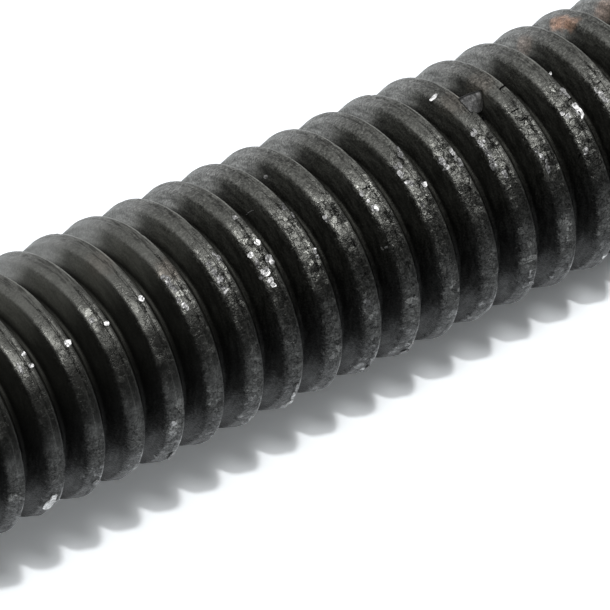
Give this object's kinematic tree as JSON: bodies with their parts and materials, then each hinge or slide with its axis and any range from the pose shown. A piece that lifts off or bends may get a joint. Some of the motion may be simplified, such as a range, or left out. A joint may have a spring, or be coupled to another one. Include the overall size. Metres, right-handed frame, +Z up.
{
  "type": "countersunk screw",
  "caption": "Flat-head countersunk machine screw in black-finished steel, with a hexagon socket, a plain shank and a coarse right-hand thread, lying on its side.",
  "frame": {"origin": "centre of the bounding box, on the surface that the screw lies on", "axes": "+X along the screw from its head to its tip, which dips 3.7 degrees; +Z up; the head's rim and the last full crest touch Z = 0"},
  "size_m": [0.032, 0.0082, 0.0081],
  "materials": {
    "steel": "black phosphate with worn bright crests"
  },
  "bodies": {
    "root": {"screw": "steel"}
  },
  "joints": []
}
